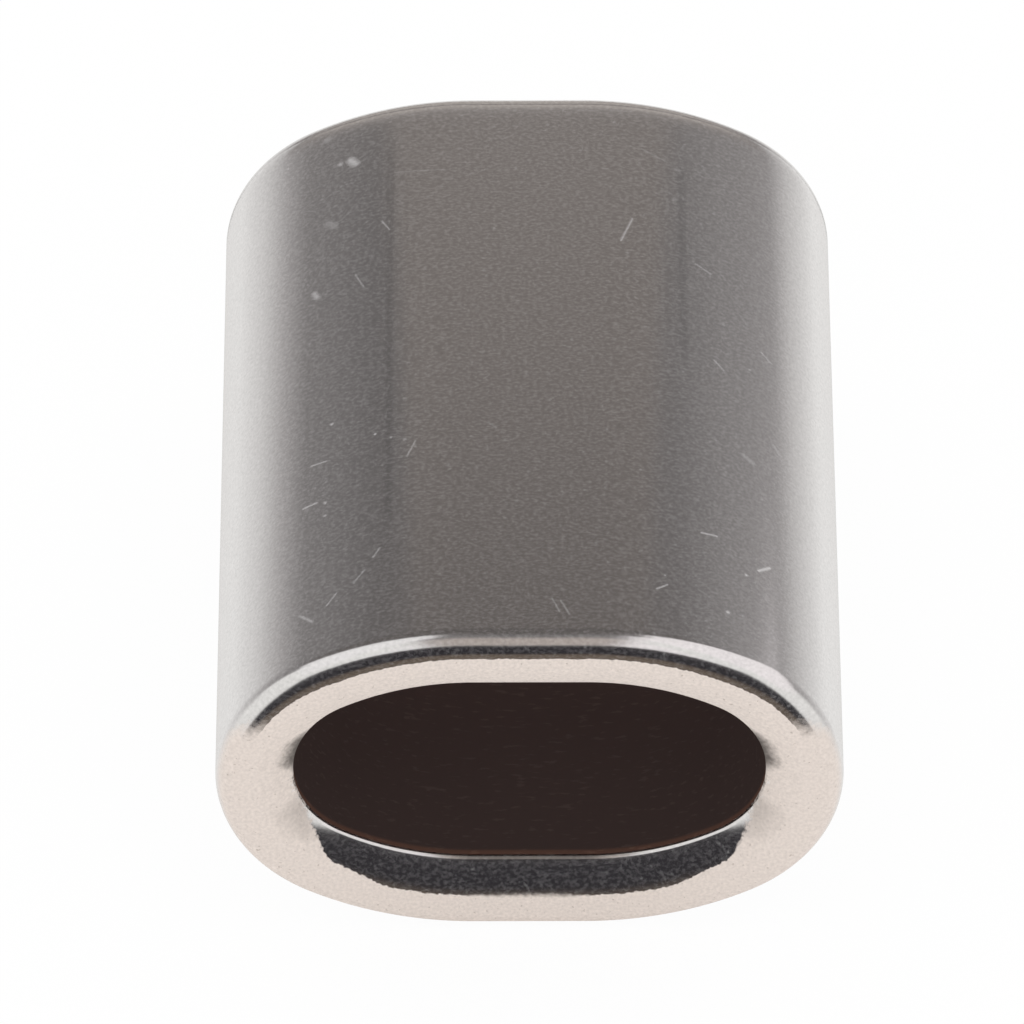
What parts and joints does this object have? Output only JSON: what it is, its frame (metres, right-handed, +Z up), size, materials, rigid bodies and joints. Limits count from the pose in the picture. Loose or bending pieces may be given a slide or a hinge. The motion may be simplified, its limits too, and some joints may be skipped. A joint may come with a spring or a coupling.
{
  "type": "wire rope ferrule",
  "caption": "Oval metal sleeve with a bell-mouthed oval passage, pressed onto two parallel legs of wire rope to form and hold an eye.",
  "frame": {"origin": "on the surface that the ferrule lies on, under the middle of the passage", "axes": "+Y along the rope passage, +X across both rope legs, +Z up through the upper broad side"},
  "size_m": [0.0234, 0.0316, 0.0146],
  "materials": {
    "tumbled_steel": "tumbled, satin bright with fine random scratches"
  },
  "bodies": {
    "root": {"ferrule": "tumbled_steel"}
  },
  "joints": []
}
